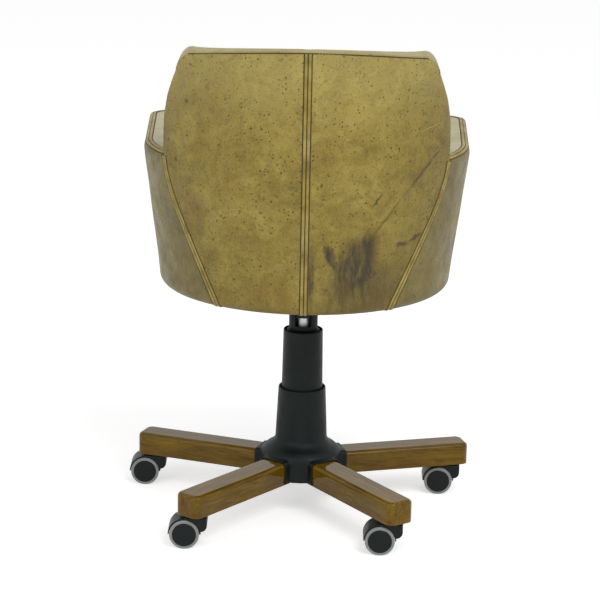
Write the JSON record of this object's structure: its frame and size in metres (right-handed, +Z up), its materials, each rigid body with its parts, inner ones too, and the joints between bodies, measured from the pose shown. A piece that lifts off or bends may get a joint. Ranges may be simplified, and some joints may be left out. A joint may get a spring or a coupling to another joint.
{
  "type": "swivel chair",
  "caption": "Tub-shaped leather swivel chair on a gas column with a five-leg wooden base and twin-wheel casters; seat swivels, lifts and tilts.",
  "frame": {"origin": "on the floor under the column axis, at the height of the wheels' lowest points", "axes": "+Z up; the sitter faces -Y; +X is the sitter's left"},
  "size_m": [0.6074, 0.5702, 0.8415],
  "materials": {
    "leather": "matte",
    "seat_leather": "matte",
    "lacquered_wood": "gloss",
    "plywood": "matte",
    "cover_plastic": "matte",
    "caster_plastic": "satin",
    "tread": "matte",
    "chrome": "polished",
    "black_steel": "satin",
    "steel": "satin",
    "bush_plastic": "matte"
  },
  "bodies": {
    "base": {"base_hub": "black_steel", "leg_bolts": "steel", "caster_sockets": "black_steel", "hub_cover": "cover_plastic", "column_tube": "black_steel", "column_bush": "bush_plastic", "thrust_bearing": "steel", "leg_1": "lacquered_wood", "leg_2": "lacquered_wood", "leg_3": "lacquered_wood", "leg_4": "lacquered_wood", "leg_5": "lacquered_wood"},
    "piston": {"piston_rod": "steel"},
    "lift": {"gas_cylinder": "chrome", "cover_collar": "cover_plastic", "mechanism_housing": "black_steel", "tilt_pivot_pin": "steel", "tension_spring": "steel"},
    "sleeve": {"cover_sleeve": "cover_plastic"},
    "knob": {"tension_knob": "caster_plastic"},
    "lever": {"height_lever": "black_steel"},
    "seat": {"mechanism_top_plate": "black_steel", "mounting_bolts": "steel", "seat_board": "plywood", "shell_frame": "plywood", "outer_back_panels": "leather", "outer_arm_panels": "leather", "inner_back_pad": "seat_leather", "inner_arm_pads": "seat_leather", "seat_cushion": "seat_leather"},
    "caster_1": {"caster_1_hood": "caster_plastic", "caster_1_pins": "steel"},
    "caster_1_left": {"caster_1_wheel_left": "caster_plastic", "caster_1_tread_left": "tread"},
    "caster_1_right": {"caster_1_wheel_right": "caster_plastic", "caster_1_tread_right": "tread"},
    "caster_2": {"caster_2_hood": "caster_plastic", "caster_2_pins": "steel"},
    "caster_2_left": {"caster_2_wheel_left": "caster_plastic", "caster_2_tread_left": "tread"},
    "caster_2_right": {"caster_2_wheel_right": "caster_plastic", "caster_2_tread_right": "tread"},
    "caster_3": {"caster_3_hood": "caster_plastic", "caster_3_pins": "steel"},
    "caster_3_left": {"caster_3_wheel_left": "caster_plastic", "caster_3_tread_left": "tread"},
    "caster_3_right": {"caster_3_wheel_right": "caster_plastic", "caster_3_tread_right": "tread"},
    "caster_4": {"caster_4_hood": "caster_plastic", "caster_4_pins": "steel"},
    "caster_4_left": {"caster_4_wheel_left": "caster_plastic", "caster_4_tread_left": "tread"},
    "caster_4_right": {"caster_4_wheel_right": "caster_plastic", "caster_4_tread_right": "tread"},
    "caster_5": {"caster_5_hood": "caster_plastic", "caster_5_pins": "steel"},
    "caster_5_left": {"caster_5_wheel_left": "caster_plastic", "caster_5_tread_left": "tread"},
    "caster_5_right": {"caster_5_wheel_right": "caster_plastic", "caster_5_tread_right": "tread"}
  },
  "joints": [
    {"name": "seat_swivel", "type": "hinge", "parent": "base", "child": "piston", "pos_m": [0, 0, 0.056], "axis": [0, 0, 1], "continuous": true},
    {"name": "gas_lift", "type": "slide", "parent": "piston", "child": "lift", "axis": [0, 0, 1], "range_m": [-0.08, 0.02]},
    {"name": "sleeve_slide", "type": "slide", "parent": "base", "child": "sleeve", "axis": [0, 0, 1], "range_m": [-0.066, 0.0165]},
    {"name": "seat_tilt", "type": "hinge", "parent": "lift", "child": "seat", "pos_m": [0, -0.06, 0.38], "axis": [-1, 0, 0], "range_deg": [0, 12], "stiffness_Nm_per_rad": 150, "springref_deg": -17.19, "deforming": ["tension_spring"]},
    {"name": "tension_turn", "type": "hinge", "parent": "lift", "child": "knob", "pos_m": [0, -0.086, 0.325], "axis": [0, 0, 1], "range_deg": [-720, 720]},
    {"name": "lever_lift", "type": "hinge", "parent": "lift", "child": "lever", "pos_m": [-0.0425, -0.00749, 0.3765], "axis": [-0.1736, 0.9848, 0], "range_deg": [0, 3], "stiffness_Nm_per_rad": 2, "springref_deg": -5.73},
    {"name": "caster_1_swivel", "type": "hinge", "parent": "base", "child": "caster_1", "pos_m": [-0.01019, -0.27791, 0.0562], "axis": [0, 0, 1], "continuous": true},
    {"name": "caster_1_roll_left", "type": "hinge", "parent": "caster_1", "child": "caster_1_left", "pos_m": [0.00981, -0.27791, 0.025], "axis": [0, 1, 0], "continuous": true},
    {"name": "caster_1_roll_right", "type": "hinge", "parent": "caster_1", "child": "caster_1_right", "pos_m": [0.00981, -0.27791, 0.025], "axis": [0, 1, 0], "continuous": true},
    {"name": "caster_2_swivel", "type": "hinge", "parent": "base", "child": "caster_2", "pos_m": [0.26116, -0.09557, 0.0562], "axis": [0, 0, 1], "continuous": true},
    {"name": "caster_2_roll_left", "type": "hinge", "parent": "caster_2", "child": "caster_2_left", "pos_m": [0.28116, -0.09557, 0.025], "axis": [0, 1, 0], "continuous": true},
    {"name": "caster_2_roll_right", "type": "hinge", "parent": "caster_2", "child": "caster_2_right", "pos_m": [0.28116, -0.09557, 0.025], "axis": [0, 1, 0], "continuous": true},
    {"name": "caster_3_swivel", "type": "hinge", "parent": "base", "child": "caster_3", "pos_m": [0.1716, 0.21885, 0.0562], "axis": [0, 0, 1], "continuous": true},
    {"name": "caster_3_roll_left", "type": "hinge", "parent": "caster_3", "child": "caster_3_left", "pos_m": [0.1916, 0.21885, 0.025], "axis": [0, 1, 0], "continuous": true},
    {"name": "caster_3_roll_right", "type": "hinge", "parent": "caster_3", "child": "caster_3_right", "pos_m": [0.1916, 0.21885, 0.025], "axis": [0, 1, 0], "continuous": true},
    {"name": "caster_4_swivel", "type": "hinge", "parent": "base", "child": "caster_4", "pos_m": [-0.15511, 0.23083, 0.0562], "axis": [0, 0, 1], "continuous": true},
    {"name": "caster_4_roll_left", "type": "hinge", "parent": "caster_4", "child": "caster_4_left", "pos_m": [-0.13511, 0.23083, 0.025], "axis": [0, 1, 0], "continuous": true},
    {"name": "caster_4_roll_right", "type": "hinge", "parent": "caster_4", "child": "caster_4_right", "pos_m": [-0.13511, 0.23083, 0.025], "axis": [0, 1, 0], "continuous": true},
    {"name": "caster_5_swivel", "type": "hinge", "parent": "base", "child": "caster_5", "pos_m": [-0.26746, -0.07619, 0.0562], "axis": [0, 0, 1], "continuous": true},
    {"name": "caster_5_roll_left", "type": "hinge", "parent": "caster_5", "child": "caster_5_left", "pos_m": [-0.24746, -0.07619, 0.025], "axis": [0, 1, 0], "continuous": true},
    {"name": "caster_5_roll_right", "type": "hinge", "parent": "caster_5", "child": "caster_5_right", "pos_m": [-0.24746, -0.07619, 0.025], "axis": [0, 1, 0], "continuous": true}
  ],
  "couplings": [
    {"joint": "sleeve_slide", "follows": "gas_lift", "ratio": 0.8}
  ]
}
